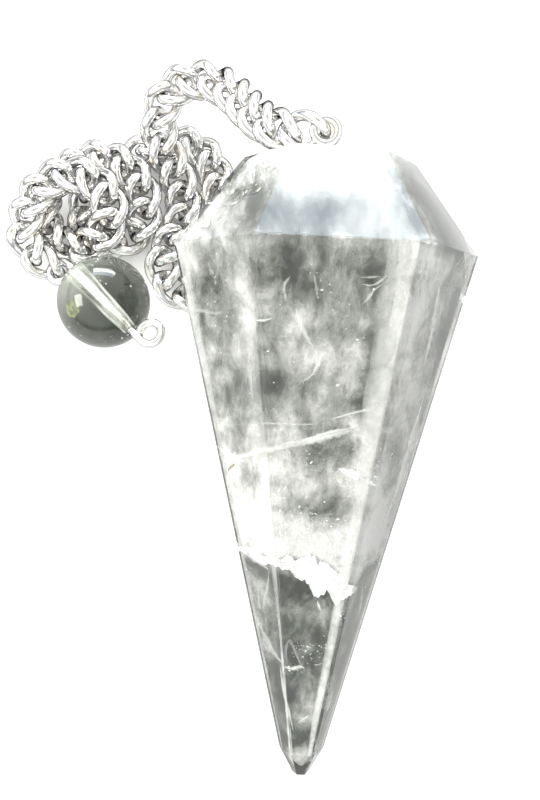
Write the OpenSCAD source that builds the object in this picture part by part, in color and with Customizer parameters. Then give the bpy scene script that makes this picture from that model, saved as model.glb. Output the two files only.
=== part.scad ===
// Pendulum pendant of clear quartz on a silver curb chain, lying on a flat surface.
// Millimetres. The origin is on the surface, below the middle of the stone's girdle.
// The stone points to -Y, its table and eye face +Y.

/* [Stone] */
// Widest measure of the stone, across opposite corners of the girdle
girdle_w = 25; // [20:0.5:30]
// The same measure at the table
table_w = 14; // [10:0.5:16]
// The same measure where the body ends and the blunt tip starts
tip_w = 3.8; // [3:0.1:5]
// Height from the girdle to the table
crown_h = 7.1; // [5:0.1:10]
// Length from the girdle to the start of the tip
body_l = 42.5; // [36:0.5:52]
// Length of the blunt tip
tip_h = 2.2; // [1:0.1:3]
// The same measure at the small flat that ends the tip
tip_flat_w = 1.4; // [0.8:0.1:2]

/* [Eye pins] */
// Wire of the two eye pins
pin_wire = 0.7; // [0.6:0.05:0.8]
// Outer diameter of every eye loop
loop_d = 2.7; // [2.6:0.1:2.9]
// Free wire between the table and the outside of the stone's loop
stone_stem = 1; // [0.8:0.1:2]
// Distance of the hole drilled in the table from the stone's axis, to the left
drill_off = 0.5; // [0.4:0.1:0.6]
// Depth of the hole drilled in the table
drill_depth = 5; // [3:0.5:8]
// Space for glue between the pin and the wall of its hole
glue_gap = 0.1; // [0.05:0.05:0.2]

/* [Bead] */
// Diameter of the bead
bead_d = 8.2; // [7:0.1:9]
// Diameter of the hole through the bead
bead_hole_d = 1.1; // [0.9:0.1:1.6]
// Free wire between the bead and the bend of the loop at each end of its pin
bead_stem = 1.4; // [1.4:0.1:2]
// Rise of the bead's hole towards its free loop, in degrees
bead_rise = 16; // [0:1:20]
// Heading of the bead's hole on the surface, in degrees from +X
bead_heading = -44; // [-60:1:-30]
// Distance of the bead from the stone's axis, to the left
bead_left = 19.2; // [18:0.1:22]
// Distance of the bead behind the girdle, towards the tip
bead_back = 3.7; // [2:0.1:6]

/* [Chain] */
// Outer length of a link
link_l = 4.2; // [4:0.1:4.6]
// Outer width of a link before it is twisted
link_w = 3.3; // [3.1:0.1:3.6]
// Wire of a link
link_wire = 0.7; // [0.6:0.05:0.75]
// Length that each link adds to the chain as it lies loose
link_pitch = 2.3; // [2.2:0.05:2.5]
// Twist of a link from its middle to each end, in degrees
link_twist = 60; // [50:1:65]

/* [Hidden] */
$fn = 64;
QUARTZ = [0.86, 0.89, 0.9, 0.6];
SILVER = [0.86, 0.86, 0.85];

// The six sides of the hand-cut stone, counted round from the one it rests on.
// Columns: turn away from a true hexagon in degrees, distance from the axis as a share of the true one.
SIDES = [
    [0, 1],
    [1, 1.01],
    [2, 1.005],
    [2, 1.005],
    [2, 0.975],
    [0, 1]
];
SIDE_STEP = 360 / len(SIDES);
REST_SIDE = 90;

// Apothems of the true hexagon at the girdle, and the angles of its cut faces.
girdle_a = girdle_w / 2 * cos(SIDE_STEP / 2);
table_share = table_w / girdle_w;
tip_share = tip_w / girdle_w;
tip_flat_share = tip_flat_w / girdle_w;
lie = atan(girdle_a * (1 - tip_share) / body_l);
girdle_z = girdle_a * cos(lie);
stone_l = crown_h + body_l + tip_h;

// The round blank that the facets are ground from. Its ends are the table and the tip's flat.
blank_r = 0.7 * girdle_w;
DRILL_MARGIN = 1;

// The loops of the pins. A bent loop leaves a slit where it comes back to its pin.
loop_r = (loop_d - pin_wire) / 2;
loop_slit = 0.05;
loop_turn = 360 - acos(1 - (pin_wire + loop_slit) / loop_r);
stone_loop_s = crown_h + stone_stem + loop_d / 2;
bead_loop_t = bead_d / 2 + bead_stem;
bead_place = [-bead_left, -bead_back, bead_d / 2];

// The links: sections round one link, sides of its wire, and how full its oval is (1 is a true oval).
LINK_SECTIONS = 14;
WIRE_SIDES = 6;
LINK_FULLNESS = 0.8;
link_a = (link_l - link_wire) / 2;
link_b = (link_w - link_wire) / 2;
link_reach = link_a - link_pitch / 2;

// Guide points of the chain's middle line, in round numbers, from the stone's eye to the bead. The line
// is drawn smoothly between them and passes inside their corners.
// Columns: x, y, z, and the roll of the chain in degrees.
ROUTE = [
    [-4.4, 8.8, 12.4, -30],
    [-6.5, 11.2, 10.5, -28],
    [-8.1, 14, 8.4, -22],
    [-10.5, 16.5, 6.7, -13],
    [-14.5, 16.5, 6, -8],
    [-16, 12, 4.5, -5],
    [-14, 10, 3, 0],
    [-12.5, 6.5, 0.5, 5],
    [-13.2, 3.5, 2, 5],
    [-15.8, 0.2, 1.5, 5],
    [-12, -3.3, 1.4, 2],
    [-8.2, -1, 1.1, -2],
    [-9, 3, 1.2, 0],
    [-9.5, 6.5, 1, 0],
    [-10, 10, 1.2, 0],
    [-11.5, 12.5, 1.5, 5],
    [-15.5, 13, 1.1, 5],
    [-18, 11, 1.3, 10],
    [-20, 9.3, 1.1, 15],
    [-23.1, 6.4, 1.5, 15],
    [-21.5, 2.5, 1.5, 15],
    [-18, 2.1, 1.5, 5],
    [-15.7, 5, 2, -10],
    [-17, 9, 3.6, -10],
    [-21, 10.7, 3.1, 0],
    [-24.5, 8.7, 2.7, 20],
    [-26.5, 5.5, 2, 40],
    [-24.6, 1.7, 1.6, 45],
    [-20.8, 1, 3.3, 30],
    [-18.3, 4, 4.2, 10],
    [-20, 7.8, 5, -5],
    [-24.5, 8, 5, -5],
    [-26.5, 5, 4.5, 10],
    [-28, 1.5, 2.6, 25]
];
START_ROLL = -27;
END_ROLL = 34;
SPAN_STEPS = 8;

// A direction of length one.
function unit(v) = v / norm(v);

// A place in the stone's own frame, whose Z is its axis, as it lies on the surface.
function laid(p) = [
    p[0],
    p[2] * cos(lie) + p[1] * sin(lie),
    p[2] * sin(lie) - p[1] * cos(lie) + girdle_z
];

// A place in the bead pin's frame, whose X is the pin and whose Y is level.
function on_pin(p) = bead_place + [
    (p[0] * cos(bead_rise) - p[2] * sin(bead_rise)) * cos(bead_heading) - p[1] * sin(bead_heading),
    (p[0] * cos(bead_rise) - p[2] * sin(bead_rise)) * sin(bead_heading) + p[1] * cos(bead_heading),
    p[0] * sin(bead_rise) + p[2] * cos(bead_rise)
];

stone_loop_place = laid([-drill_off, 0, stone_loop_s]);
far_loop_place = on_pin([-bead_loop_t, -loop_r, 0]);
chain_start = stone_loop_place + link_reach * unit(vec3(ROUTE[0]) - stone_loop_place);
chain_end = far_loop_place + link_reach * unit(vec3(ROUTE[len(ROUTE) - 1]) - far_loop_place);

// The chain's middle line: a smooth curve drawn along the route, cut into short steps.
function vec3(p) = [p[0], p[1], p[2]];
function curve(p, q, r, s, t) = (
    pow(1 - t, 3) * p
    + (3 * pow(t, 3) - 6 * t * t + 4) * q
    + (3 * t + 3 * t * t - 3 * pow(t, 3) + 1) * r
    + pow(t, 3) * s
) / 6;
function guide(list, i) =
    i < 0 ? 2 * list[0] - list[1] : i < len(list) ? list[i] : 2 * list[len(list) - 1] - list[len(list) - 2];
stops = concat([concat(chain_start, START_ROLL)], ROUTE, [concat(chain_end, END_ROLL)]);
line = [
    for (i = [0 : len(stops) - 2], k = [0 : SPAN_STEPS - 1])
        curve(guide(stops, i - 1), stops[i], stops[i + 1], guide(stops, i + 2), k / SPAN_STEPS),
    stops[len(stops) - 1]
];
steps = [for (i = [1 : len(line) - 1]) norm(vec3(line[i]) - vec3(line[i - 1]))];
far = [for (i = 0, s = 0; i < len(line); s = s + (i < len(steps) ? steps[i] : 0), i = i + 1) s];
tables = [for (c = [0 : 3]) [for (i = [0 : len(line) - 1]) [far[i], line[i][c]]]];
function along(s) = [for (c = [0 : 3]) lookup(s, tables[c])];
links = round(far[len(far) - 1] / link_pitch);
joints = [for (k = [0 : links]) along(k * far[len(far) - 1] / links)];
half_way = floor(links / 2);

// The middle line of one link: a full oval, twisted along its length.
function power(v) = sign(v) * pow(abs(v), LINK_FULLNESS);
function link_middle(t) =
    let (x = link_a * power(cos(t)), y = link_b * power(sin(t)), twist = link_twist * x / link_a)
    [x, y * cos(twist), y * sin(twist)];
function link_ring(t) =
    let (
        c = link_middle(t),
        along_wire = unit(link_middle(t + 1) - link_middle(t - 1)),
        out = unit(c - (c * along_wire) * along_wire),
        up = cross(along_wire, out)
    )
    [for (j = [0 : WIRE_SIDES - 1])
        let (u = 360 * j / WIRE_SIDES) c + link_wire / 2 * (cos(u) * out + sin(u) * up)];
LINK_SHAPE = [for (i = [0 : LINK_SECTIONS - 1]) each link_ring(360 * (i + 0.5) / LINK_SECTIONS)];
function ring_index(i, j) = (i % LINK_SECTIONS) * WIRE_SIDES + j % WIRE_SIDES;
LINK_FACES = [
    for (i = [0 : LINK_SECTIONS - 1], j = [0 : WIRE_SIDES - 1])
        each [
            [ring_index(i, j), ring_index(i, j + 1), ring_index(i + 1, j)],
            [ring_index(i, j + 1), ring_index(i + 1, j + 1), ring_index(i + 1, j)]
        ]
];

// The points of the link between two joints of the chain.
function link_points(from, to) =
    let (
        middle = (vec3(from) + vec3(to)) / 2,
        ahead = unit(vec3(to) - vec3(from)),
        level = unit(cross([0, 0, 1], ahead)),
        above = cross(ahead, level),
        roll = (from[3] + to[3]) / 2,
        side = level * cos(roll) + above * sin(roll),
        top = above * cos(roll) - level * sin(roll)
    )
    [for (p = LINK_SHAPE) middle + p[0] * ahead + p[1] * side + p[2] * top];

// Everything beyond a plane that stands a given distance from the axis and leans by an angle.
module ground_off(turn, from_axis, height, lean) {
    rotate([0, 0, turn])
        translate([from_axis, 0, height])
            rotate([0, lean, 0])
                translate([0, -stone_l, -2 * stone_l])
                    cube([stone_l, 2 * stone_l, 4 * stone_l]);
}

// The turn of a side of the stone round its axis, and its apothem at the girdle.
function side_turn(i) = REST_SIDE - i * SIDE_STEP + SIDES[i][0];
function side_a(i) = girdle_a * SIDES[i][1];

// The stone in its own frame: axis along Z, girdle at zero, table up.
// Ground from the blank: the body's facets, the crown's, the tip's, and the hole for the eye pin.
module cut_stone() {
    sides = [0 : len(SIDES) - 1];
    difference() {
        translate([0, 0, -body_l - tip_h])
            cylinder(r = blank_r, h = stone_l);
        for (i = sides)
            ground_off(side_turn(i), side_a(i), 0, atan(side_a(i) * (1 - tip_share) / body_l));
        for (i = sides)
            ground_off(side_turn(i), side_a(i), 0, -atan(side_a(i) * (1 - table_share) / crown_h));
        for (i = sides)
            ground_off(side_turn(i), side_a(i) * tip_share, -body_l,
                       atan(side_a(i) * (tip_share - tip_flat_share) / tip_h));
        translate([-drill_off, 0, crown_h - drill_depth])
            cylinder(d = pin_wire + 2 * glue_gap, h = drill_depth + DRILL_MARGIN);
    }
}

// Lays a piece of the stone's own frame down on the surface.
module lay_down() {
    translate([0, 0, girdle_z])
        rotate([lie - 90, 0, 0])
            children();
}

// Puts a piece of the bead pin's frame in its place.
module on_bead_axis() {
    translate(bead_place)
        rotate([0, -bead_rise, bead_heading])
            children();
}

// A ring of wire round the Z axis that turns by an angle from +X.
module wire_ring(turn) {
    rotate_extrude(angle = turn)
        translate([loop_r, 0])
            circle(d = pin_wire);
}

// The loop that ends the bead pin: bent to one side until it nearly touches the pin again.
module bent_loop() {
    translate([bead_loop_t, loop_r, 0])
        rotate([0, 0, -90])
            wire_ring(loop_turn);
}

module stone() {
    color(QUARTZ)
        lay_down()
            cut_stone();
}

module stone_eye() {
    shank_from = crown_h - drill_depth + glue_gap;
    color(SILVER)
        lay_down() {
            translate([-drill_off, 0, shank_from])
                cylinder(d = pin_wire, h = stone_loop_s - loop_r - shank_from);
            translate([-drill_off, 0, stone_loop_s])
                rotate([90, 0, 0])
                    wire_ring(360);
        }
}

module chain(first, last) {
    color(SILVER)
        for (k = [first : last])
            polyhedron(points = link_points(joints[k], joints[k + 1]), faces = LINK_FACES);
}

module chain_stone_side() {
    chain(0, half_way - 1);
}

module chain_bead_side() {
    chain(half_way, links - 1);
}

module bead() {
    color(QUARTZ)
        on_bead_axis()
            difference() {
                sphere(d = bead_d);
                translate([-bead_d, 0, 0])
                    rotate([0, 90, 0])
                        cylinder(d = bead_hole_d, h = 2 * bead_d);
            }
}

module bead_pin() {
    color(SILVER)
        on_bead_axis() {
            translate([-bead_loop_t, 0, 0])
                rotate([0, 90, 0])
                    cylinder(d = pin_wire, h = 2 * bead_loop_t);
            bent_loop();
            rotate([0, 0, 180])
                bent_loop();
        }
}

stone();
stone_eye();
chain_stone_side();
chain_bead_side();
bead();
bead_pin();
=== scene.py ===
"""Looks of the pendulum pendant: a faceted quartz point, a silver curb chain and a quartz bead.

Metres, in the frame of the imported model. The stone lies on one facet with its table and eye to +Y.
"""

import math
import random

import bmesh
import bpy
import numpy as np
from mathutils import Matrix, Vector, noise


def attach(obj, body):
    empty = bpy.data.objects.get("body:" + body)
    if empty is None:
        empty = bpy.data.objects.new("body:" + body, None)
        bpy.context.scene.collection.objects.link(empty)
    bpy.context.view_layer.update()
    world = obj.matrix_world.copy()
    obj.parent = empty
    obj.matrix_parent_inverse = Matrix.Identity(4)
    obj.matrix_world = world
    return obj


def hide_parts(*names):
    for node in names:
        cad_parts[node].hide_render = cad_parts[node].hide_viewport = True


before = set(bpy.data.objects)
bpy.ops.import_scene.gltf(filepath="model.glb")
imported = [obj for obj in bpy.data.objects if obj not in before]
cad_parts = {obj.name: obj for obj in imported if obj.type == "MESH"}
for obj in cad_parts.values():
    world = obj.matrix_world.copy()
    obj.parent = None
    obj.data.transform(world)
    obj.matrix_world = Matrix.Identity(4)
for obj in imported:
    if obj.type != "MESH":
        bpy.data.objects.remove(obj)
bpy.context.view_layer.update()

MM = 0.001

# The camera: above the stone and a little towards its tip, as the photograph was taken.
IMAGE_W, IMAGE_H = 540, 800
FOCAL_PX = 850
CAMERA_DISTANCE = 78.67 * MM
CAMERA_ELEVATION = math.radians(83.14)
CAMERA_AZIMUTH = math.radians(2.6)
CAMERA_TARGET = Vector((-4.08, -11.32, 0)) * MM
SENSOR = 36
NEAR_CLIP = 0.001
FAR_CLIP = 20

# The stone, measured as it is cut.
GIRDLE_W = 25 * MM
TABLE_W = 14 * MM
TIP_W = 3.8 * MM
CROWN_H = 7.1 * MM
BODY_L = 42.5 * MM
TIP_H = 2.2 * MM
TIP_FLAT_W = 1.4 * MM
SIDES = 6
SIDE_TURN = 360 / SIDES

# Its six sides, counted round from the one it rests on: turn away from a true hexagon in degrees, and
# distance from the axis as a share of the true one.
CUT_SIDES = [(0, 1), (1, 1.01), (2, 1.005), (2, 1.005), (2, 0.975), (0, 1)]

# The bead and its wire: the slit is the part of a loop's turn that stays open, in degrees.
BEAD_D = 8.2 * MM
BEAD_HOLE_D = 1.1 * MM
BEAD_CENTRE = Vector((-19.2, -3.7, 4.1)) * MM
BEAD_RISE = math.radians(16)
BEAD_HEADING = math.radians(-44)
BEAD_STEM = 1.4 * MM
PIN_WIRE = 0.75 * MM
LOOP_R = 1 * MM
LOOP_SLIT = 42

# A link: half length and half width of its middle line, twist from its middle to each end, how full its
# oval is (1 is an ellipse, less is fuller), and wire.
LINK_A = 1.75 * MM
LINK_B = 1.3 * MM
LINK_TWIST = math.radians(60)
LINK_FULLNESS = 0.8
LINK_WIRE = 0.92 * MM

girdle_a = GIRDLE_W / 2 * math.cos(math.pi / SIDES)
lie = math.atan(girdle_a * (1 - TIP_W / GIRDLE_W) / BODY_L)
girdle_z = girdle_a * math.cos(lie)
STONE_FRAME = Matrix.Translation((0, 0, girdle_z)) @ Matrix.Rotation(lie - math.pi / 2, 4, "X")
BEAD_FRAME = (
    Matrix.Translation(BEAD_CENTRE)
    @ Matrix.Rotation(BEAD_HEADING, 4, "Z")
    @ Matrix.Rotation(-BEAD_RISE, 4, "Y")
)


# Camera

def camera_axes():
    """Directions to the right and to the top of the camera's picture, and from its target back to it."""
    flat = math.cos(CAMERA_ELEVATION)
    back = Vector((
        math.sin(CAMERA_AZIMUTH) * flat,
        -math.cos(CAMERA_AZIMUTH) * flat,
        math.sin(CAMERA_ELEVATION),
    ))
    right = Vector((math.cos(CAMERA_AZIMUTH), math.sin(CAMERA_AZIMUTH), 0))
    return right, back.cross(right), back


def add_camera():
    data = bpy.data.cameras.new("camera")
    data.lens = FOCAL_PX / IMAGE_H * SENSOR
    data.sensor_width = SENSOR
    data.clip_start = NEAR_CLIP
    data.clip_end = FAR_CLIP
    cam = bpy.data.objects.new("camera", data)
    bpy.context.collection.objects.link(cam)
    right, up, back = camera_axes()
    turn = Matrix((right, up, back)).transposed()
    cam.matrix_world = Matrix.Translation(CAMERA_TARGET + back * CAMERA_DISTANCE) @ turn.to_4x4()
    bpy.context.scene.camera = cam


def camera_ray(u, v):
    """The camera's place and the direction in which it sees pixel (u, v)."""
    right, up, back = camera_axes()
    across, rise = (u - IMAGE_W / 2) / FOCAL_PX, (IMAGE_H / 2 - v) / FOCAL_PX
    return CAMERA_TARGET + back * CAMERA_DISTANCE, right * across + up * rise - back


# The stone's facets, and places behind the pixels that show them

def facets():
    """Outward direction and distance from the girdle's middle of each facet of the body and the crown."""
    planes = []
    for i, (turn, share) in enumerate(CUT_SIDES):
        angle, reach = math.radians(90 - SIDE_TURN * i + turn), girdle_a * share
        body = math.atan(reach * (1 - TIP_W / GIRDLE_W) / BODY_L)
        crown = -math.atan(reach * (1 - TABLE_W / GIRDLE_W) / CROWN_H)
        for lean in (body, crown):
            flat = math.cos(lean)
            out = Vector((math.cos(angle) * flat, math.sin(angle) * flat, -math.sin(lean)))
            planes.append((out, reach * flat))
    return planes


FACETS = facets()
INTO_STONE = STONE_FRAME.inverted()


def under_skin(u, v, depth):
    """The place, in the stone's own frame, at a depth along the line of sight behind the facet seen at
    pixel (u, v)."""
    eye, ray = camera_ray(u, v)
    eye, ray = INTO_STONE @ eye, (INTO_STONE.to_3x3() @ ray).normalized()
    entry = max((reach - out.dot(eye)) / out.dot(ray) for out, reach in FACETS if out.dot(ray) < 0)
    return eye + ray * (entry + depth)


def inside(place):
    """How far a place in the stone's own frame is inside the nearest facet."""
    return min(reach - out.dot(place) for out, reach in FACETS)


def seen_at(place):
    """The pixel at which the camera sees a place of the world."""
    right, up, back = camera_axes()
    off = place - CAMERA_TARGET
    near = CAMERA_DISTANCE - off.dot(back)
    return IMAGE_W / 2 + FOCAL_PX * off.dot(right) / near, IMAGE_H / 2 - FOCAL_PX * off.dot(up) / near


# Materials

def fill_ramp(ramp, stops):
    """Sets a colour ramp's stops, which are (place, level) or (place, (r, g, b))."""
    points = ramp.color_ramp.elements
    while len(points) < len(stops):
        points.new(0.5)
    for point, (at, colour) in zip(points, stops):
        point.position = at
        point.color = (*colour, 1) if isinstance(colour, tuple) else (colour, colour, colour, 1)


class Nodes:
    """A material's node tree, with short calls for the nodes that are used here."""

    def __init__(self, name):
        self.material = bpy.data.materials.new(name)
        self.material.use_nodes = True
        self.tree = self.material.node_tree
        self.shader = self.tree.nodes["Principled BSDF"]
        self.output = self.tree.nodes["Material Output"]

    def node(self, kind, **values):
        made = self.tree.nodes.new(kind)
        for key, value in values.items():
            setattr(made, key, value)
        return made

    def link(self, start, end):
        self.tree.links.new(start, end)

    def place(self, own_frame=None):
        """Coordinates of the model, or of a turned frame within it."""
        at = self.node("ShaderNodeTexCoord").outputs["Object"]
        if own_frame is None:
            return at
        into = own_frame.inverted()
        turned = self.node("ShaderNodeMapping")
        turned.inputs["Location"].default_value = into.to_translation()
        turned.inputs["Rotation"].default_value = into.to_euler()
        self.link(at, turned.inputs["Vector"])
        return turned.outputs["Vector"]

    def noise(self, scale, detail=4, rough=0.55, at=None, stretch=(1, 1, 1), distortion=0):
        """Noise with features of 1 / scale metres, drawn out along an axis by a stretch below one."""
        mapping = self.node("ShaderNodeMapping")
        mapping.inputs["Scale"].default_value = stretch
        self.link(at or self.place(), mapping.inputs["Vector"])
        made = self.node("ShaderNodeTexNoise")
        made.inputs["Scale"].default_value = scale
        made.inputs["Detail"].default_value = detail
        made.inputs["Roughness"].default_value = rough
        made.inputs["Distortion"].default_value = distortion
        self.link(mapping.outputs["Vector"], made.inputs["Vector"])
        return made.outputs["Fac"]

    def ramp(self, value, *stops):
        """Colours or levels by value."""
        made = self.node("ShaderNodeValToRGB")
        fill_ramp(made, stops)
        self.link(value, made.inputs["Fac"])
        return made.outputs["Color"]

    def level(self, value, low, high, to_low, to_high):
        """A value from one range mapped to another and kept within it."""
        made = self.node("ShaderNodeMapRange")
        made.inputs["From Min"].default_value = low
        made.inputs["From Max"].default_value = high
        made.inputs["To Min"].default_value = to_low
        made.inputs["To Max"].default_value = to_high
        self.link(value, made.inputs["Value"])
        return made.outputs["Result"]

    def maths(self, operation, a, b):
        """A sum on two values, each of them a number or another node's output."""
        made = self.node("ShaderNodeMath", operation=operation)
        for socket, value in zip(made.inputs, (a, b)):
            if isinstance(value, (int, float)):
                socket.default_value = value
            else:
                self.link(value, socket)
        return made.outputs["Value"]

    def read(self, name):
        """The number that a mesh carries for its points under a name."""
        return self.node("ShaderNodeAttribute", attribute_name=name).outputs["Fac"]

    def colour(self, value, *stops):
        """Colours the shader by a value."""
        self.link(self.ramp(value, *stops), self.shader.inputs["Base Color"])

    def bump(self, height, strength, distance):
        made = self.node("ShaderNodeBump")
        made.inputs["Strength"].default_value = strength
        made.inputs["Distance"].default_value = distance
        self.link(height, made.inputs["Height"])
        self.link(made.outputs["Normal"], self.shader.inputs["Normal"])

    def set(self, **values):
        """Constant values, by the socket's name with underscores."""
        for key, value in values.items():
            self.shader.inputs[key.replace("_", " ")].default_value = value

    def lets_light_through(self):
        """Lamps shine through the surface on what lies behind it."""
        clear = self.node("ShaderNodeBsdfTransparent")
        path = self.node("ShaderNodeLightPath")
        both = self.node("ShaderNodeMixShader")
        self.link(path.outputs["Is Shadow Ray"], both.inputs["Fac"])
        self.link(self.shader.outputs["BSDF"], both.inputs[1])
        self.link(clear.outputs["BSDF"], both.inputs[2])
        self.link(both.outputs["Shader"], self.output.inputs["Surface"])


def silver():
    """Bright silver with painted dark rims: its base colour and its edge tint go dark at glancing angles, a
    painted reflection of a dark room.
    """
    m = Nodes("silver")
    # The dark edge tint paints a dark reflection at glancing angles.
    m.set(Metallic=1, Specular_Tint=(0.1, 0.1, 0.11, 1))
    worn = m.noise(700, 3)
    warm, bright, cool = (0.97, 0.93, 0.87), (0.99, 0.985, 0.97), (0.98, 0.985, 0.99)
    tone = m.ramp(worn, (0.36, warm), (0.47, bright), (0.7, cool))
    glancing = m.node("ShaderNodeLayerWeight").outputs["Facing"]
    # rim is a painted reflection: it darkens the base colour towards the silhouette.
    rim = m.ramp(glancing, (0.55, 1), (0.73, 0.6), (0.86, 0.03))
    shaded = m.node("ShaderNodeMix", data_type="RGBA", blend_type="MULTIPLY")
    shaded.inputs["Factor"].default_value = 1
    m.link(tone, shaded.inputs["A"])
    m.link(rim, shaded.inputs["B"])
    m.link(shaded.outputs["Result"], m.shader.inputs["Base Color"])
    m.link(m.level(m.noise(2600, 2), 0.3, 0.7, 0.12, 0.26), m.shader.inputs["Roughness"])
    m.bump(m.noise(2200, 3), 0.5, 0.03 * MM)
    return m.material


def clear_quartz():
    """The stone's polished facets."""
    m = Nodes("clear_quartz")
    m.set(Base_Color=(0.97, 0.985, 0.98, 1), IOR=1.54, Transmission_Weight=1)
    m.link(m.level(m.noise(700, 4), 0.35, 0.75, 0.005, 0.03), m.shader.inputs["Roughness"])
    m.bump(m.noise(900, 3), 0.03, 0.02 * MM)
    m.lets_light_through()
    return m.material


# Where the photograph shows the stone milky or clear, above the haze's rim: middle and half sizes in
# pixels, turn in degrees, and how much milkier, or below zero clearer, it is there.
TONES = [
    (287, 262, 30, 25, 0, -1.5),
    (303, 297, 20, 20, -20, -0.5),
    (357, 260, 22, 16, 0, -0.6),
    (366, 283, 14, 12, 0, -0.5),
    (334, 303, 14, 12, 0, -0.6),
    (374, 338, 8, 60, 4, -1.0),
    (350, 402, 24, 9, 0, -1.0),
    (272, 330, 9, 12, 0, -0.7),
    (274, 384, 14, 12, 0, -0.7),
    (213, 278, 9, 8, 0, -0.8),
    (221, 303, 11, 16, 0, -0.7),
    (214, 335, 15, 15, 0, -0.9),
    (223, 364, 13, 7, 0, -0.8),
    (230, 392, 10, 12, 0, -0.7),
    (243, 436, 22, 11, 0, -0.7),
    (320, 453, 30, 11, -8, -0.8),
    (253, 478, 14, 9, 0, -0.5),
    (280, 483, 10, 8, 0, -0.4),
    (388, 455, 10, 18, 10, -0.7),
    (322, 511, 24, 10, 0, -0.3),
    (430, 262, 16, 12, 0, 0.5),
    (441, 335, 7, 60, 12, -1.3),
    (428, 440, 5, 30, 14, -0.6),
    (404, 330, 8, 60, 10, 0.6),
    (416, 350, 24, 90, 12, 0.4),
    (215, 215, 30, 30, 0, 0.3),
    (415, 250, 16, 12, 0, 0.8),
    (248, 300, 9, 55, 0, 0.45),
    (185, 262, 14, 26, 0, 0.9),
    (240, 350, 12, 14, 0, 0.4),
    (333, 318, 9, 12, 0, 0.7),
    (300, 322, 10, 16, 20, 0.8),
    (312, 350, 18, 14, 0, 0.6),
    (358, 320, 9, 9, 0, 0.9),
    (262, 362, 14, 6, 10, 0.5),
    (330, 262, 6, 14, 0, 0.5),
    (318, 405, 16, 10, 0, 0.3),
    (228, 424, 8, 30, -10, 0.4),
    (251, 509, 28, 24, 0, 0.45),
    (300, 534, 70, 24, 4, 1.15),
    (355, 478, 22, 12, 10, 1.0),
    (300, 488, 60, 16, 0, 0.5),
    (300, 455, 90, 32, 0, 0.35),
    (372, 520, 14, 34, 14, 1.3),
    (430, 207, 28, 7, 42, -0.9),
    (428, 196, 24, 38, -35, -2.2),
    (446, 238, 28, 16, 40, -1.1),
    (452, 240, 14, 20, 0, -0.5),
    (236, 172, 12, 22, 40, -0.7),
    (325, 216, 74, 18, 0, -0.75),
    (380, 216, 30, 20, 0, 0.35),
    (335, 160, 70, 26, 0, 1.2),
    (240, 200, 30, 40, 0, -0.3),
    (262, 545, 26, 9, 25, 1.0),
    (330, 566, 26, 10, 20, 0.5),
]

# The same below the haze's rim, in the clear part towards the tip.
LOW_TONES = [
    (261, 596, 9, 30, -8, 0.9),
    (268, 645, 20, 7, 50, 1.0),
    (296, 640, 16, 10, 0, 0.4),
    (318, 650, 12, 12, 0, 0.3),
    (300, 612, 30, 8, 0, 0.25),
    (303, 700, 14, 30, 0, 0.35),
    (352, 610, 10, 26, 14, 0.1),
    (276, 690, 6, 30, -12, 0.3),
    (306, 757, 18, 8, 0, 1.2),
]

# How much of a tone's amount is added in its middle.
TONE_SHARE = 0.5


def shaded(tones, u, v):
    """What a list of tones adds at a pixel."""
    tone = 0
    for middle_u, middle_v, half_u, half_v, turn, amount in tones:
        c, s = math.cos(math.radians(turn)), math.sin(math.radians(turn))
        across, down = u - middle_u, v - middle_v
        x, y = (across * c + down * s) / half_u, (down * c - across * s) / half_v
        tone += amount * math.exp(-(x * x + y * y)) * TONE_SHARE
    return tone


# Where the haze ends towards the tip: pixels of its lower rim.
HAZE_RIM = [
    (180, 545),
    (240, 549),
    (266, 566),
    (290, 572),
    (312, 584),
    (345, 590),
    (360, 566),
    (384, 545),
    (470, 540),
]


def beyond_rim(u, v):
    """Pixels below the haze's rim; less than zero above it."""
    return v - float(np.interp(u, *zip(*HAZE_RIM)))


def milky_quartz():
    """The cloudy inside of the stone, whose points carry how milky it is there."""
    m = Nodes("milky_quartz")
    at = m.place(STONE_FRAME)
    milky = m.read("milk")
    uneven = m.read("uneven")
    patches = m.noise(230, 4, 0.6, at, (1, 0.35, 0.8), 0.3)
    wisps = m.noise(620, 6, 0.7, at, (1, 0.35, 0.6), 0.35)
    rough = m.maths("ADD", m.level(patches, 0.3, 0.7, -0.34, 0.34), m.level(wisps, 0.3, 0.7, -0.4, 0.4))
    dense = m.maths("ADD", milky, m.maths("MULTIPLY", rough, uneven))
    stops = [
        (0.02, (0.2, 0.225, 0.185)),
        (0.28, (0.43, 0.445, 0.41)),
        (0.5, (0.62, 0.625, 0.60)),
        (0.78, (0.86, 0.86, 0.83)),
        (1, (1, 1, 0.98)),
    ]
    m.colour(dense, *stops)
    m.link(m.level(dense, -0.15, 0.9, 0.02, 0.98), m.shader.inputs["Alpha"])
    m.bump(m.noise(1500, 5, 0.7, at), 1, 0.35 * MM)
    m.set(Roughness=0.7)
    return m.material


def white_fracture():
    """The bright faces of breaks and flakes."""
    m = Nodes("white_fracture")
    m.colour(m.noise(1500, 4), (0.3, (0.93, 0.94, 0.93)), (0.6, (1, 1, 0.99)))
    m.set(Roughness=0.4)
    return m.material


def veils_and_highlights():
    """Veils, and the painted highlights beside the ridges: pale bands which fade towards their rims."""
    m = Nodes("veils_and_highlights")
    grain = m.noise(420, 4, 0.6, m.place(), (1, 1, 0.25))
    fine = m.noise(1600, 4, 0.6, m.place(), (1, 1, 0.2))
    m.colour(grain, (0.35, (0.86, 0.87, 0.84)), (0.65, (1, 1, 0.98)))
    fade = m.read("fade")
    cover = m.maths("ADD", m.level(grain, 0.3, 0.7, 0.35, 0.75), m.level(fine, 0.3, 0.7, -0.15, 0.2))
    m.link(m.maths("MULTIPLY", cover, fade), m.shader.inputs["Alpha"])
    m.set(Roughness=0.6)
    return m.material


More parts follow.
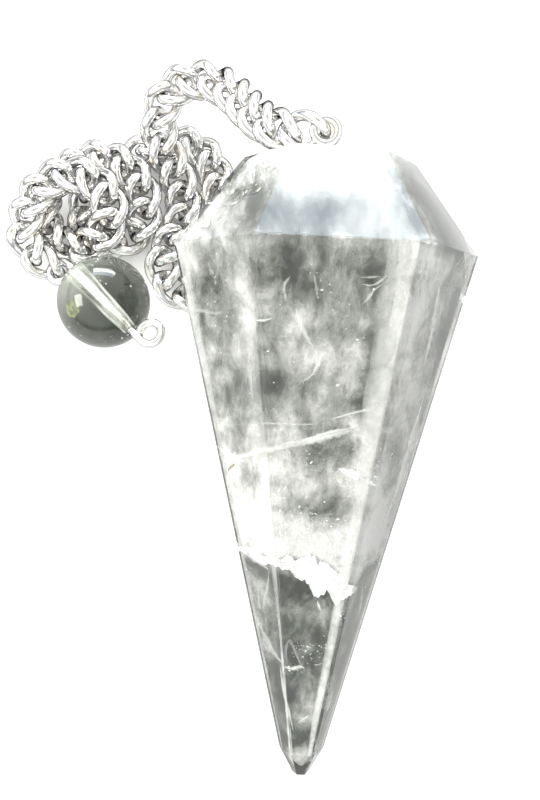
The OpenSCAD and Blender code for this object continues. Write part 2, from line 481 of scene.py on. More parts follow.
def iron_stain():
    """Brownish yellow, as rust stains quartz."""
    m = Nodes("iron_stain")
    m.colour(m.noise(3000, 2), (0.3, (0.30, 0.26, 0.05)), (0.7, (0.45, 0.42, 0.16)))
    m.set(Roughness=0.6)
    return m.material


FLOOR_GLOW = 0.22
FLOOR_DARK_IN_SILVER = 0.3


def pale_floor():
    """Pale and faintly glowing where it is seen and where it lights the object, but dark behind the quartz
    and partly dark as the silver mirrors it."""
    m = Nodes("pale_floor")
    m.colour(m.noise(30, 2), (0.3, 0.9), (0.7, 0.92))
    m.set(Roughness=0.9, Emission_Color=(1, 1, 0.98, 1), Emission_Strength=FLOOR_GLOW)
    dark = m.node("ShaderNodeBsdfDiffuse")
    dark.inputs["Color"].default_value = (0.04, 0.043, 0.039, 1)
    path = m.node("ShaderNodeLightPath")
    mirrored = m.maths("MULTIPLY", path.outputs["Is Glossy Ray"], FLOOR_DARK_IN_SILVER)
    bent = m.maths("MAXIMUM", mirrored, path.outputs["Is Transmission Ray"])
    both = m.node("ShaderNodeMixShader")
    m.link(bent, both.inputs["Fac"])
    m.link(m.shader.outputs["BSDF"], both.inputs[1])
    m.link(dark.outputs["BSDF"], both.inputs[2])
    m.link(both.outputs["Shader"], m.output.inputs["Surface"])
    return m.material


# Shapes

def add_mesh(name, points, faces, material, slot, smooth=True):
    """Adds a visual piece of the one body."""
    data = bpy.data.meshes.new(name)
    data.from_pydata([tuple(p) for p in points], [], faces)
    data.validate()
    data.materials.append(material)
    if smooth:
        data.shade_smooth()
    else:
        data.shade_flat()
    piece = bpy.data.objects.new(name, data)
    bpy.context.collection.objects.link(piece)
    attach(piece, "root")
    return piece


def tube(path, radius, sides=14, closed=False):
    """A round tube along a path of points, its frame carried along without twist, with flat ends."""
    path = [Vector(p) for p in path]
    count = len(path)
    side = None
    rings = []
    for i, here in enumerate(path):
        before = path[i - 1] if closed or i else path[0]
        after = path[(i + 1) % count] if closed or i < count - 1 else path[-1]
        ahead = (after - before).normalized()
        side = ahead.orthogonal() if side is None else side - side.dot(ahead) * ahead
        side.normalize()
        across = ahead.cross(side)
        turns = [2 * math.pi * k / sides for k in range(sides)]
        rings.append([here + radius * (math.cos(t) * side + math.sin(t) * across) for t in turns])
    points = [p for ring in rings for p in ring]
    faces = []
    for i in range(count if closed else count - 1):
        a, b = i * sides, (i + 1) % count * sides
        faces += [(a + k, a + (k + 1) % sides, b + (k + 1) % sides, b + k) for k in range(sides)]
    if not closed:
        faces += [tuple(range(sides))[::-1], tuple(range((count - 1) * sides, count * sides))]
    return points, faces


def joined(parts):
    """Several (points, faces) as one."""
    points, faces = [], []
    for some_points, some_faces in parts:
        start = len(points)
        points += some_points
        faces += [tuple(start + i for i in face) for face in some_faces]
    return points, faces


# The chain

LINK_SECTIONS = 40
LINK_SIDES = 12


def loose_links(node):
    """The points of each loose solid of a node of the frame, doubled points joined."""
    made = bmesh.new()
    made.from_mesh(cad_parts[node].data)
    made.transform(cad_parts[node].matrix_world)
    bmesh.ops.remove_doubles(made, verts=made.verts, dist=0.001 * MM)
    made.verts.index_update()
    seen = [False] * len(made.verts)
    groups = []
    for first in made.verts:
        if seen[first.index]:
            continue
        seen[first.index] = True
        edge = [first]
        group = []
        while edge:
            here = edge.pop()
            group.append(here.co.copy())
            for line in here.link_edges:
                other = line.other_vert(here)
                if not seen[other.index]:
                    seen[other.index] = True
                    edge.append(other)
        groups.append(group)
    made.free()
    return groups


def link_frame(points):
    """A link's middle, and its length, width and thickness directions."""
    spots = np.array([tuple(p) for p in points])
    middle = spots.mean(axis=0)
    spread, axes = np.linalg.eigh(np.cov((spots - middle).T))
    length, width = Vector(axes[:, 2]), Vector(axes[:, 1])
    return Vector(middle), length, width, length.cross(width)


def full(value):
    """A sine or cosine made fuller, so that an oval bulges at its corners."""
    return math.copysign(abs(value) ** LINK_FULLNESS, value)


def link_path():
    """The middle line of a link's wire in the link's own frame: a full oval, twisted along its length."""
    path = []
    for i in range(LINK_SECTIONS):
        turn = 2 * math.pi * (i + 0.5) / LINK_SECTIONS
        x, y = LINK_A * full(math.cos(turn)), LINK_B * full(math.sin(turn))
        twist = LINK_TWIST * x / LINK_A
        path.append(Vector((x, y * math.cos(twist), y * math.sin(twist))))
    return path


def add_chain(node, material):
    """Round links in the places of a node's loose solids."""
    points, faces = tube(link_path(), LINK_WIRE / 2, LINK_SIDES, closed=True)
    links = []
    for group in loose_links(node):
        middle, length, width, thickness = link_frame(group)
        links.append(([middle + p.x * length + p.y * width + p.z * thickness for p in points], faces))
    piece = add_mesh(node + "_links", *joined(links), material, "silver")
    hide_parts(node)


# The bead's wire

def loop_arc(centre, start, turn, steps=40):
    """Points of an arc in the XY plane, by angle from +X in degrees."""
    angles = [math.radians(start + turn * i / steps) for i in range(steps + 1)]
    return [Vector(centre) + LOOP_R * Vector((math.cos(a), math.sin(a), 0)) for a in angles]


def add_bead_pin(material):
    """One wire through the bead, bent into a loop at each end."""
    end = BEAD_D / 2 + BEAD_STEM
    parts = 12
    near = loop_arc((end, LOOP_R, 0), -90, 360 - LOOP_SLIT)
    far = loop_arc((-end, -LOOP_R, 0), 90, 360 - LOOP_SLIT)
    shank = [Vector((-end + 2 * end * i / parts, 0, 0)) for i in range(1, parts)]
    points, faces = tube(far[::-1] + shank + near, PIN_WIRE / 2, sides=16)
    piece = add_mesh("bead_wire", [BEAD_FRAME @ p for p in points], faces, material, "silver")
    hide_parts("bead_pin")


# The bead

# Reaches are shares of its radius, the spot's size is a share of its diameter, and the sizes of flakes are
# in millimetres.
BEAD_HAZE_REACH = 0.86
BEAD_SPOT_REACH = 0.9
BEAD_SPOT_WAY = Vector((-0.52, -0.36, 0.77))
BEAD_SPOT_SIZE = 0.2
BEAD_SPOT_CORNERS = 24
BEAD_FLAKES = 60
BEAD_FLAKE_REACH = (0.55, 0.9)
BEAD_FLAKE_SIZE = (0.03, 0.07)
FLAKE_FACES = [(0, 1, 2), (0, 2, 3), (0, 3, 1), (1, 3, 2)]


def lathe(profile, segments, closed=True):
    """A profile of (along x, from the axis) points turned round the X axis."""
    points, faces = [], []
    count = len(profile)
    strips = count if closed else count - 1
    for k in range(segments):
        turn = 2 * math.pi * k / segments
        points += [Vector((x, r * math.cos(turn), r * math.sin(turn))) for x, r in profile]
    for k in range(segments):
        a, b = k * count, (k + 1) % segments * count
        faces += [(a + i, a + (i + 1) % count, b + (i + 1) % count, b + i) for i in range(strips)]
    return points, faces


def bead_glass():
    """Clear quartz whose base colour darkens to a soft ring near the bead's rim: a painted dark rim, shade
    painted by the angle at which the surface is seen.
    """
    m = Nodes("bead_quartz")
    m.set(IOR=1.54, Transmission_Weight=1)
    glancing = m.node("ShaderNodeLayerWeight").outputs["Facing"]
    # ring is painted shade: the base colour goes dark near the rim, at glancing angles.
    clear, ring = (0.84, 0.88, 0.81), (0.3, 0.34, 0.31)
    m.colour(glancing, (0.55, clear), (0.78, ring), (0.95, ring))
    m.link(m.level(m.noise(900, 3), 0.4, 0.8, 0.005, 0.05), m.shader.inputs["Roughness"])
    m.lets_light_through()
    return m.material


def drilled_wall():
    """The frosted wall of the drilled hole, streaked along it."""
    m = Nodes("drilled_wall")
    grain = m.noise(2600, 4, 0.6, m.place(BEAD_FRAME), (0.12, 1, 1))
    m.colour(grain, (0.38, (0.5, 0.52, 0.46)), (0.6, (1, 1, 0.97)))
    m.link(m.level(grain, 0.38, 0.66, 0.02, 0.75), m.shader.inputs["Alpha"])
    m.set(Roughness=0.4)
    return m.material


def bead_haze():
    """Faint clouds inside the bead, thickest high on its left."""
    m = Nodes("bead_haze")
    at = m.place()
    clouds = m.noise(330, 4, 0.6, at, distortion=0.6)
    near = m.node("ShaderNodeVectorMath", operation="DISTANCE")
    m.link(at, near.inputs[0])
    near.inputs[1].default_value = BEAD_CENTRE + Vector((-0.55, 0.35, 0.6)) * BEAD_D / 2
    left = m.level(near.outputs["Value"], 0.05 * BEAD_D, 0.4 * BEAD_D, 0.3, 0)
    thick = m.maths("MULTIPLY", left, m.level(clouds, 0.3, 0.5, 0.3, 1))
    thin = m.level(clouds, 0.4, 0.7, 0, 0.04)
    m.colour(clouds, (0.35, (0.76, 0.79, 0.68)), (0.65, (0.92, 0.94, 0.86)))
    m.link(m.maths("ADD", thin, thick), m.shader.inputs["Alpha"])
    m.set(Roughness=0.6)
    return m.material


def add_bead_haze(material):
    """A shell just inside the bead."""
    radius = BEAD_HAZE_REACH * BEAD_D / 2
    steps = 24
    turns = [math.pi * i / steps for i in range(steps + 1)]
    profile = [(radius * math.cos(t), radius * math.sin(t)) for t in turns]
    points, faces = lathe(profile, 2 * steps, closed=False)
    add_mesh("bead_clouds", [BEAD_FRAME @ p for p in points], faces, material, "quartz")


def bead_stain():
    """A grainy yellow-green, thin in places."""
    m = Nodes("bead_stain")
    grain = m.noise(2400, 3)
    m.colour(grain, (0.35, (0.3, 0.33, 0.12)), (0.7, (0.5, 0.53, 0.3)))
    m.link(m.level(grain, 0.3, 0.6, 0.15, 0.6), m.shader.inputs["Alpha"])
    m.set(Roughness=0.6)
    return m.material


def add_bead_spot(material):
    """A yellow-green patch just inside the bead's top, towards its left, ragged round its rim."""
    way = BEAD_SPOT_WAY.normalized()
    turn = way.to_track_quat("Z", "Y").to_matrix()
    count = BEAD_SPOT_CORNERS
    rim = []
    for k in range(count):
        angle = 2 * math.pi * k / count
        ragged = noise.noise(Vector((3 * math.cos(angle), 3 * math.sin(angle), 1)))
        reach = BEAD_SPOT_SIZE * BEAD_D * (0.5 + 0.25 * ragged)
        rim.append(turn @ Vector((0.8 * reach * math.cos(angle), reach * math.sin(angle), 0)))
    middle = BEAD_SPOT_REACH * BEAD_D / 2 * way
    points = [BEAD_CENTRE + middle]
    points += [BEAD_CENTRE + (middle + p).normalized() * middle.length for p in rim]
    faces = [(0, k + 1, (k + 1) % count + 1) for k in range(count)]
    add_mesh("bead_spot", points, faces, material, "quartz")


def add_bead_flakes(material):
    """Bright specks all round inside the bead."""
    pick = random.Random(3)
    parts = []
    shape = [Vector((1, 0, 0)), Vector((0, 0.7, 0)), Vector((-1, 0, 0.2)), Vector((0, -0.5, 0.5))]
    for _ in range(BEAD_FLAKES):
        way = Vector((pick.gauss(0, 1), pick.gauss(0, 1), pick.gauss(0, 1))).normalized()
        middle = way * (pick.uniform(*BEAD_FLAKE_REACH) * BEAD_D / 2)
        size = pick.uniform(*BEAD_FLAKE_SIZE) * MM
        parts.append(([BEAD_FRAME @ (middle + p * size) for p in shape], FLAKE_FACES))
    add_mesh("bead_flakes", *joined(parts), material, "quartz", smooth=False)


def add_bead(glass, wall):
    """A round bead whose drilled hole has a frosted wall."""
    hole = BEAD_HOLE_D / 2
    radius = BEAD_D / 2
    rim = math.asin(hole / radius)
    steps = 72
    turns = [rim + (math.pi - 2 * rim) * i / steps for i in range(steps + 1)]
    outside = [(radius * math.cos(t), radius * math.sin(t)) for t in turns]
    wall_places = np.linspace(outside[-1][0], outside[0][0], 8)[1:-1]
    profile = outside + [(x, hole) for x in wall_places]
    points, faces = lathe(profile, 2 * steps)
    piece = add_mesh("bead_round", [BEAD_FRAME @ p for p in points], faces, glass, "quartz")
    piece.data.materials.append(wall)
    for face in piece.data.polygons:
        face.material_index = int(face.index % len(profile) >= steps)
    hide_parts("bead")


# The stone

def crystal_rings():
    """Distance from the axis and place along it of the stone's corners, from the table to the tip."""
    return [
        (0, CROWN_H),
        (TABLE_W / 2, CROWN_H),
        (GIRDLE_W / 2, 0),
        (TIP_W / 2, -BODY_L),
        (TIP_FLAT_W / 2, -BODY_L - TIP_H),
        (0, -BODY_L - TIP_H),
    ]


def inner_crystal(inset, across, step):
    """The stone's shape drawn in by an inset, as a closed mesh in the stone's own frame: points across each
    side, and the step along it."""
    rings = []
    side = inset / math.cos(math.pi / SIDES)
    corners = [(max(r - side, 0), z) for r, z in crystal_rings()]
    corners = [(r, min(max(z, 2 * inset - BODY_L - TIP_H), CROWN_H - inset)) for r, z in corners]
    for (r0, z0), (r1, z1) in zip(corners, corners[1:]):
        parts = max(1, round(math.hypot(r1 - r0, z1 - z0) / step))
        rings += [(r0 + (r1 - r0) * i / parts, z0 + (z1 - z0) * i / parts) for i in range(parts)]
    rings.append(corners[-1])
    around = SIDES * across
    points, faces = [], []
    for r, z in rings:
        for k in range(around):
            side, part = divmod(k, across)
            a0, a1 = (math.radians(SIDE_TURN * (side + n)) for n in (0, 1))
            start, end = Vector((math.cos(a0), math.sin(a0), 0)), Vector((math.cos(a1), math.sin(a1), 0))
            flat = start.lerp(end, part / across) * r
            points.append(Vector((flat.x, flat.y, z)))
    for i in range(len(rings) - 1):
        a, b = i * around, (i + 1) * around
        faces += [(a + k, b + k, b + (k + 1) % around, a + (k + 1) % around) for k in range(around)]
    return points, faces


# The haze: its depth inside the facets, its points across a side and its step along the stone.
HAZE_INSET = 0.5 * MM
HAZE_ACROSS = 18
HAZE_STEP = 0.5 * MM

# How milky it is where no tone changes it: above its rim, on the underside and below its rim. The rim is
# soft over some pixels, and the crown's front is smoother than the rest.
PLAIN_MILK = 0.52
UNDER_SIDE_MILK = -0.25
LOW_MILK = 0.1
RIM_SOFTNESS = 5
CROWN_UNEVENNESS = 0.45


def haze_level(place):
    """How milky the haze is at a place in the stone's own frame."""
    if place.y > 0:
        return UNDER_SIDE_MILK
    u, v = seen_at(STONE_FRAME @ place)
    past = min(max(beyond_rim(u, v) / RIM_SOFTNESS, 0), 1)
    high, low = PLAIN_MILK + shaded(TONES, u, v), LOW_MILK + shaded(LOW_TONES, u, v)
    return high * (1 - past) + low * past


def haze_unevenness(place):
    """How uneven the haze is: less behind the crown's front facet than elsewhere."""
    in_front = abs(place.x) < -place.y * math.tan(math.pi / SIDES)
    return CROWN_UNEVENNESS if place.z > 0 and in_front else 1


def carry(piece, name, levels):
    """Writes a number for each of a piece's points, for its material to read."""
    layer = piece.data.attributes.new(name, "FLOAT", "POINT")
    for spot, level in zip(layer.data, levels):
        spot.value = level


def add_haze(material):
    """A closed hull just inside the facets, which carries how milky and how uneven it is."""
    points, faces = inner_crystal(HAZE_INSET, HAZE_ACROSS, HAZE_STEP)
    places = [STONE_FRAME @ point for point in points]
    piece = add_mesh("stone_haze", places, faces, material, "quartz", smooth=False)
    carry(piece, "milk", [haze_level(point) for point in points])
    carry(piece, "uneven", [haze_unevenness(point) for point in points])


def add_strip(name, rows, fades, material):
    """A soft strip through rows of points, with how much of its material shows at each of them."""
    points = [STONE_FRAME @ point for row in rows for point in row]
    count = len(rows[0])
    faces = []
    for i in range(len(rows) - 1):
        a, b = i * count, (i + 1) * count
        faces += [(a + k, a + k + 1, b + k + 1, b + k) for k in range(count - 1)]
    piece = add_mesh(name, points, faces, material, "quartz")
    carry(piece, "fade", [fade for row in fades for fade in row])


def corner(turn, s):
    """The stone's corner at an angle and a distance s below the girdle, in its own frame."""
    r = (GIRDLE_W + (TIP_W - GIRDLE_W) * s / BODY_L) / 2
    return Vector((r * math.cos(math.radians(turn)), r * math.sin(math.radians(turn)), -s))


# Painted highlights beside the ridges, pale bands that stand for light along them: the angles of the ridge
# that each lies at and of the one that it widens towards; share along the body, width in millimetres and
# strength at each stop; strength across.
RIDGE_HIGHLIGHTS = {
    "highlight_right_of_front": (
        (-60, -120),
        [
            (0, 2.4, 0.4),
            (0.2, 2.0, 0.6),
            (0.36, 1.4, 0.8),
            (0.48, 0.9, 0.9),
            (0.66, 0.8, 1.2),
            (0.85, 0.7, 1.2),
            (1, 0.4, 1),
        ],
        [0.3, 1.0, 1.1, 0.9, 0.2],
    ),
    "highlight_left_of_front": (
        (-120, -180),
        [
            (0, 2.8, 0.35),
            (0.3, 2.9, 0.4),
            (0.5, 1.4, 0.5),
            (0.7, 0.5, 0.6),
            (0.8, 0.45, 0.8),
            (0.88, 0.45, 1.3),
            (1, 0.4, 1.1),
        ],
        [0.7, 1, 0.7, 0],
    ),
    "highlight_left_edge": ((180, 240), [(0, 2.4, 1.1), (0.3, 1.2, 1), (1, 0.3, 0.8)], [1, 0.8, 0]),
    "highlight_right_edge": ((0, -60), [(0, 0.8, 1.1), (0.5, 0.6, 1.1), (1, 0.25, 1)], [1.1, 0.9, 0.4]),
}

# Steps along the body, depth inside the facet, distance from the ridge and how much the width varies.
BAND_STEPS = 60
BAND_DEPTH = 0.3 * MM
BAND_FROM_RIDGE = 0.15 * MM
BAND_UNEVENNESS = 0.15


def add_ridge_highlight(name, turns, stops, across, material):
    """A painted highlight: a pale strip just inside a facet, beside a ridge."""
    shares, widths, strengths = zip(*stops)
    rows, fades = [], []
    for i in range(BAND_STEPS + 1):
        share = i / BAND_STEPS
        s = BODY_L * i / BAND_STEPS
        here, there = (corner(turn, s) for turn in turns)
        way = (there - here).normalized()
        inward = -Vector(((here + there).x, (here + there).y, 0)).normalized() * BAND_DEPTH
        uneven = 1 + BAND_UNEVENNESS * noise.noise(Vector((turns[0], 0, s * 300)))
        width = np.interp(share, shares, widths) * MM * uneven
        places = [BAND_FROM_RIDGE + width * k / (len(across) - 1) for k in range(len(across))]
        rows.append([here + inward + way * place for place in places])
        strength = float(np.interp(share, shares, strengths))
        fades.append([fade * strength for fade in across])
    add_strip(name, rows, fades, material)


# The painted highlights beside the ridges.
def add_ridge_highlights(material):
    for name, (turns, stops, across) in RIDGE_HIGHLIGHTS.items():
        add_ridge_highlight(name, turns, stops, across, material)


# Flaws in the quartz, by the pixels where the photograph shows them: places, and half widths in pixels.
FRACTURE = [
    (237, 548, 2),
    (252, 552, 4),
    (263, 560, 5),
    (274, 561, 4),
    (288, 563, 7),
    (301, 568, 11),
    (314, 574, 17),
    (328, 580, 16),
    (341, 588, 12),
    (349, 590, 7),
    (356, 588, 2),
]

# The same for thin flaws, and for two painted glints: half width, strength and places.
VEILS = {
    "veil_rising": (
        3.2,
        1.7,
        [(214, 443), (226, 452), (240, 456), (262, 451), (286, 445), (307, 439), (333, 431), (362, 426)],
    ),
    "veil_rising_wide": (5, 1.3, [(290, 446), (312, 440), (336, 433), (352, 430)]),
    "veil_bright": (4.5, 1.9, [(338, 468), (348, 472), (360, 477), (375, 485)]),
    "veil_level": (1.0, 0.7, [(212, 423), (240, 424), (272, 423), (302, 424), (330, 423)]),
    "veil_step": (1.6, 1.3, [(330, 419), (348, 414), (364, 410), (380, 408)]),
    "veil_left": (3.4, 1.8, [(218, 446), (230, 456), (240, 460), (250, 461)]),
    "veil_upper_left": (2.2, 0.6, [(188, 312), (200, 310), (214, 313), (226, 312)]),
    "veil_cross": (1.6, 1.3, [(256, 320), (264, 320), (272, 318)]),
    "stroke_top": (1.8, 0.8, [(362, 284), (372, 285), (380, 281), (387, 275)]),
    "stroke_mid": (1.5, 0.8, [(360, 277), (370, 277), (380, 276)]),
    "stroke_under": (1.6, 0.8, [(362, 304), (368, 298), (374, 290), (382, 284)]),
    "streak_right": (2.8, 2.2, [(440, 280), (437, 296), (434, 314), (431, 332), (427, 350), (423, 366)]),
    "streak_right_low": (
        2.6,
        2.0,
        [(424, 392), (418, 414), (411, 436), (404, 462), (396, 490), (386, 516), (380, 530)],
    ),
    "streak_left": (2.0, 0.6, [(251, 342), (250, 362), (252, 384), (254, 404)]),
    "feather_a": (3.0, 0.8, [(296, 308), (300, 322), (306, 336), (312, 346)]),
    "feather_b": (2.4, 0.8, [(322, 352), (318, 364), (310, 376), (300, 382)]),
    "feather_c": (2.2, 0.6, [(286, 300), (284, 286), (290, 276)]),
    "feather_d": (2.0, 0.6, [(318, 300), (316, 286), (314, 274)]),
    "rim_left": (3.2, 1.3, [(236, 540), (246, 552), (258, 560), (270, 570)]),
    "arc_low_left": (2.8, 0.6, [(257, 616), (262, 628), (269, 642), (276, 654), (284, 664)]),
    "arc_low": (2.2, 0.3, [(287, 664), (286, 650), (289, 640), (294, 648), (299, 660), (304, 668)]),
    "line_low": (1.8, 1.1, [(281, 667), (284, 688), (288, 706), (293, 730)]),
    "needle_a": (1.6, 0.6, [(260, 578), (259, 592), (261, 610)]),
    "needle_b": (2.0, 0.7, [(270, 570), (268, 588), (264, 608)]),
    "needle_c": (1.5, 0.6, [(362, 586), (361, 600), (358, 616)]),
    "needle_d": (1.6, 1.3, [(317, 600), (319, 606), (321, 611)]),
    "needle_e": (1.4, 0.7, [(332, 690), (329, 702), (326, 712)]),
    # glint_low and glint_low_right are painted glints.
    "glint_low": (2.2, 1.3, [(285, 666), (292, 668), (300, 666), (305, 668)]),
    "glint_low_right": (1.4, 1.3, [(314, 664), (318, 664), (322, 662)]),
    "scratch_tip": (1.2, 1.3, [(298, 722), (304, 718), (309, 714)]),
}


def smooth_path(stops, steps):
    """A smooth line through stops, which are tuples of numbers."""
    stops = [np.array(p, float) for p in stops]
    ends = [2 * stops[0] - stops[1]] + stops + [2 * stops[-1] - stops[-2]]
    path = []
    for i in range(1, len(ends) - 2):
        a, b, c, d = ends[i - 1:i + 3]
        for k in range(steps):
            t = k / steps
            bend = -a + 3 * b - 3 * c + d
            path.append(0.5 * (2 * b + (c - a) * t + (2 * a - 5 * b + 4 * c - d) * t * t + bend * t ** 3))
    return path + [stops[-1]]


# Steps of the break: place across it, from its upper rim to its lower one, and depth in millimetres.
FRACTURE_STEPS = [
    (-1, 0.4),
    (-0.62, 0.2),
    (-0.55, 0.42),
    (-0.15, 0.2),
    (-0.08, 0.42),
    (0.32, 0.18),
    (0.4, 0.36),
    (1, 0.14),
]

# Parts between two stops of its line; roughness of its rims, and of its depth in millimetres; sway in
# pixels.
FRACTURE_PARTS = 10
FRACTURE_ROUGHNESS = 0.5
FRACTURE_ROUGH_DEPTH = 0.06
FRACTURE_SWAY = 1.8

# Parts between two stops of a veil's line, its depth, its roughness, and its strength across.
VEIL_PARTS = 8
VEIL_DEPTH = 0.28 * MM
VEIL_ROUGHNESS = 0.7
VEIL_ACROSS = (0, 0.7, 1, 0.7, 0)


def add_fracture(material):
    """A bright break, ragged along its rims, that steps down away from the tip."""
    rows = len(FRACTURE_STEPS)
    points = []
    for u, v, half in smooth_path(FRACTURE, FRACTURE_PARTS):
        sway = FRACTURE_SWAY * noise.noise(Vector((u * 0.3, 0, 0)))
        for across, depth in FRACTURE_STEPS:
            rough = noise.fractal(Vector((u * 0.13, across * 1.7, 3)), 0.8, 2, 4)
            ragged = across * half * (1 + FRACTURE_ROUGHNESS * rough) + sway
            deep = (depth + FRACTURE_ROUGH_DEPTH * rough) * MM
            points.append(STONE_FRAME @ under_skin(u, v + ragged, deep))
    faces = []
    for i in range(len(points) // rows - 1):
        a, b = i * rows, (i + 1) * rows
        faces += [(a + j, a + j + 1, b + j + 1, b + j) for j in range(rows - 1)]
    add_mesh("fracture_main", points, faces, material, "quartz", smooth=False)


def add_veils(material):
    """Thin healed cracks, feathers and needles, and painted glints."""
    for name, (half, strength, stops) in VEILS.items():
        fades = [strength * share for share in VEIL_ACROSS]
        path = smooth_path(stops, VEIL_PARTS)
        rows = []
        for i, (u, v) in enumerate(path):
            taper = math.sin(math.pi * (i + 0.6) / (len(path) + 0.2))
            rough = 1 + VEIL_ROUGHNESS * noise.noise(Vector((u * 0.23, v * 0.23, half)))
            ahead = path[min(i + 1, len(path) - 1)] - path[max(i - 1, 0)]
            side = np.array((-ahead[1], ahead[0])) / np.linalg.norm(ahead) * half * taper * rough
            row = []
            for k in range(len(fades)):
                off = 2 * k / (len(fades) - 1) - 1
                row.append(under_skin(u + side[0] * off, v + side[1] * off, VEIL_DEPTH))
            rows.append(row)
        add_strip(name, rows, [fades] * len(rows), material)


# Where flakes lie: pixel of the middle, half sizes in pixels, and how many.
FLAKES = [
    (251, 509, 26, 24, 260),
    (300, 532, 60, 26, 420),
    (355, 478, 22, 12, 160),
    (300, 470, 70, 40, 60),
    (396, 490, 12, 60, 110),
    (240, 455, 30, 8, 50),
    (225, 300, 34, 60, 50),
    (320, 330, 60, 70, 70),
    (250, 590, 12, 40, 30),
    (312, 650, 22, 14, 60),
    (296, 668, 16, 4, 30),
    (345, 620, 12, 60, 40),
    (300, 380, 80, 50, 40),
]

# Their shape, their depth behind the facets and their size in millimetres, and how far they keep inside.
FLAKE_SHAPE = [Vector((1, 0, 0)), Vector((0, 0.6, 0)), Vector((-1.2, 0, 0)), Vector((0, -0.5, 0.3))]
FLAKE_DEPTH = (0.18, 0.36)
FLAKE_SIZE = (0.03, 0.17)
FLAKE_CLEARANCE = 0.1 * MM


def add_flakes(material):
    """Fine bright specks just under the facets."""
    pick = random.Random(7)
    parts = []
    for u, v, half_u, half_v, count in FLAKES:
        for _ in range(count):
            spot = (u + half_u * pick.gauss(0, 0.5), v + half_v * pick.gauss(0, 0.5))
            middle = under_skin(*spot, pick.uniform(*FLAKE_DEPTH) * MM)
            axis = Vector((pick.random(), pick.random(), pick.random() + 0.1))
            tilt = Matrix.Rotation(pick.uniform(0, math.pi), 3, axis)
            size = pick.uniform(*FLAKE_SIZE) * MM
            if inside(middle) > FLAKE_CLEARANCE:
                points = [STONE_FRAME @ (middle + tilt @ (p * size)) for p in FLAKE_SHAPE]
                parts.append((points, FLAKE_FACES))
    add_mesh("flakes", *joined(parts), material, "quartz", smooth=False)


# The brown speck, by its pixels.
STAIN = [(229, 470), (231, 467), (235, 464)]
STAIN_DEPTH = 0.3 * MM
STAIN_R = 0.07 * MM


def add_stain(material):
    """A brown speck just under the left facet."""
    path = [STONE_FRAME @ under_skin(u, v, STAIN_DEPTH) for u, v in STAIN]
    points, faces = tube(path, STAIN_R, sides=8)
    add_mesh("stain", points, faces, material, "quartz")


# Dressing of the frame's own pieces

# Width of the polished bevel along a ridge, and the least angle in degrees at which an edge gets one.
RIDGE_W = 0.16 * MM
RIDGE_ANGLE = 12


def dress(node, material):
    """Gives a piece of the frame its material, and returns the piece."""
    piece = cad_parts[node]
    piece.data.materials.clear()
    piece.data.materials.append(material)
    return piece


def dress_stone(material):
    """Clear quartz with narrow bevels along its ridges."""
    stone = dress("stone", material)
    weld = stone.modifiers.new("weld", "WELD")
    weld.merge_threshold = 0.001 * MM
    bevel = stone.modifiers.new("bevel", "BEVEL")
    bevel.width = RIDGE_W
    bevel.segments = 2
    bevel.limit_method = "ANGLE"
    bevel.angle_limit = math.radians(RIDGE_ANGLE)


# Stage

FLOOR_HALF = 1.5
ROOM_LIGHT = 1.3

# Colours of the room from straight below, 0, over level, 0.5, to straight above, 1.
ROOM = [
    (0.0, (0.6, 0.6, 0.6)),
    (0.5, (0.07, 0.075, 0.08)),
    (0.57, (0.16, 0.17, 0.18)),
    (0.64, (0.82, 0.84, 0.87)),
    (0.8, (1.0, 0.99, 0.96)),
    (0.93, (1.0, 0.99, 0.96)),
    (0.97, (0.6, 0.6, 0.58)),
    (1.0, (0.4, 0.4, 0.4)),
]
BACKDROP = (0.93, 0.93, 0.93, 1)

# Lamps: place, size, power and colour.
LAMPS = {
    "window": ((-0.01, 0.375, 0.140), (0.30, 0.075), 1.05, (1, 0.985, 0.95)),
    "side": ((-0.30, -0.05, 0.22), (0.16, 0.12), 0.68, (1, 0.985, 0.95)),
    "sky": ((-0.01, 0.345, 0.205), (0.30, 0.07), 0.36, (0.7, 0.83, 1)),
}
LAMP_TARGET = Vector((-0.005, -0.01, 0.01))


def add_floor(material):
    half = FLOOR_HALF
    corners = [(-half, -half, 0), (half, -half, 0), (half, half, 0), (-half, half, 0)]
    data = bpy.data.meshes.new("floor")
    data.from_pydata(corners, [], [(0, 1, 2, 3)])
    data.materials.append(material)
    floor = bpy.data.objects.new("floor", data)
    bpy.context.collection.objects.link(floor)


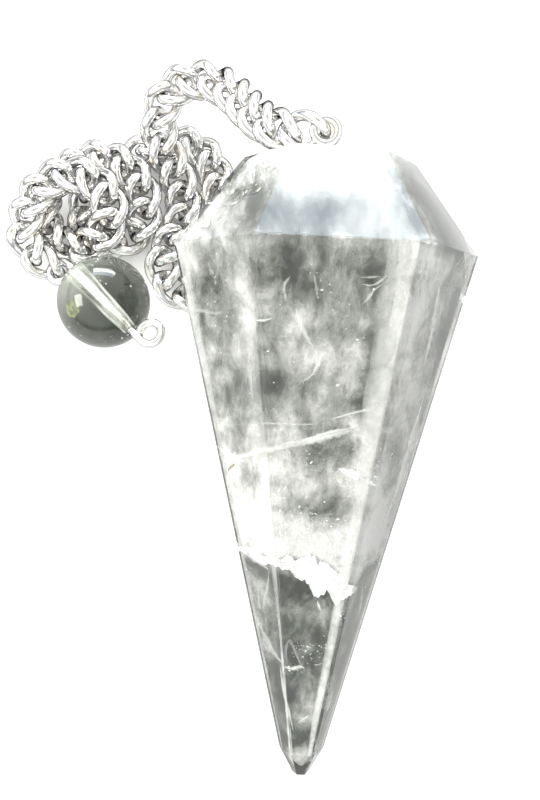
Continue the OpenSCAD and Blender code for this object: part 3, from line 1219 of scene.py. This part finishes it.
def room_light(tree):
    """A background whose colour changes with height."""
    place = tree.nodes.new("ShaderNodeTexCoord")
    apart = tree.nodes.new("ShaderNodeSeparateXYZ")
    tree.links.new(place.outputs["Generated"], apart.inputs["Vector"])
    height = tree.nodes.new("ShaderNodeMapRange")
    height.inputs["From Min"].default_value = -1
    height.inputs["From Max"].default_value = 1
    tree.links.new(apart.outputs["Z"], height.inputs["Value"])
    ramp = tree.nodes.new("ShaderNodeValToRGB")
    fill_ramp(ramp, ROOM)
    tree.links.new(height.outputs["Result"], ramp.inputs["Fac"])
    room = tree.nodes.new("ShaderNodeBackground")
    tree.links.new(ramp.outputs["Color"], room.inputs["Color"])
    room.inputs["Strength"].default_value = ROOM_LIGHT
    return room


def add_world():
    """The room lights the object; the camera itself sees a plain backdrop."""
    world = bpy.data.worlds.new("studio")
    world.use_nodes = True
    bpy.context.scene.world = world
    tree = world.node_tree
    tree.nodes.clear()
    room = room_light(tree)
    backdrop = tree.nodes.new("ShaderNodeBackground")
    backdrop.inputs["Color"].default_value = BACKDROP
    path = tree.nodes.new("ShaderNodeLightPath")
    both = tree.nodes.new("ShaderNodeMixShader")
    tree.links.new(path.outputs["Is Camera Ray"], both.inputs["Fac"])
    tree.links.new(room.outputs["Background"], both.inputs[1])
    tree.links.new(backdrop.outputs["Background"], both.inputs[2])
    output = tree.nodes.new("ShaderNodeOutputWorld")
    tree.links.new(both.outputs["Shader"], output.inputs["Surface"])


def add_area(name, place, size, power, colour):
    """A rectangular lamp that shines on the object."""
    data = bpy.data.lights.new(name, "AREA")
    data.shape = "RECTANGLE"
    data.size, data.size_y = size
    data.energy = power
    data.color = colour
    lamp = bpy.data.objects.new(name, data)
    bpy.context.collection.objects.link(lamp)
    aim = (LAMP_TARGET - Vector(place)).to_track_quat("-Z", "Y")
    lamp.matrix_world = Matrix.Translation(place) @ aim.to_matrix().to_4x4()


def add_lights():
    for name, (place, size, power, colour) in LAMPS.items():
        add_area(name, place, size, power, colour)


def main():
    add_camera()
    metal = silver()
    add_floor(pale_floor())
    add_world()
    add_lights()
    dress_stone(clear_quartz())
    dress("stone_eye", metal)
    add_haze(milky_quartz())
    # One pale material for the veils and for the painted highlights beside the ridges.
    soft = veils_and_highlights()
    add_ridge_highlights(soft)
    add_veils(soft)
    white = white_fracture()
    add_fracture(white)
    add_flakes(white)
    add_stain(iron_stain())
    add_chain("chain_stone_side", metal)
    add_chain("chain_bead_side", metal)
    add_bead_pin(metal)
    add_bead(bead_glass(), drilled_wall())
    add_bead_haze(bead_haze())
    add_bead_spot(bead_stain())
    add_bead_flakes(white)
    bpy.context.scene.view_settings.view_transform = "Standard"


main()
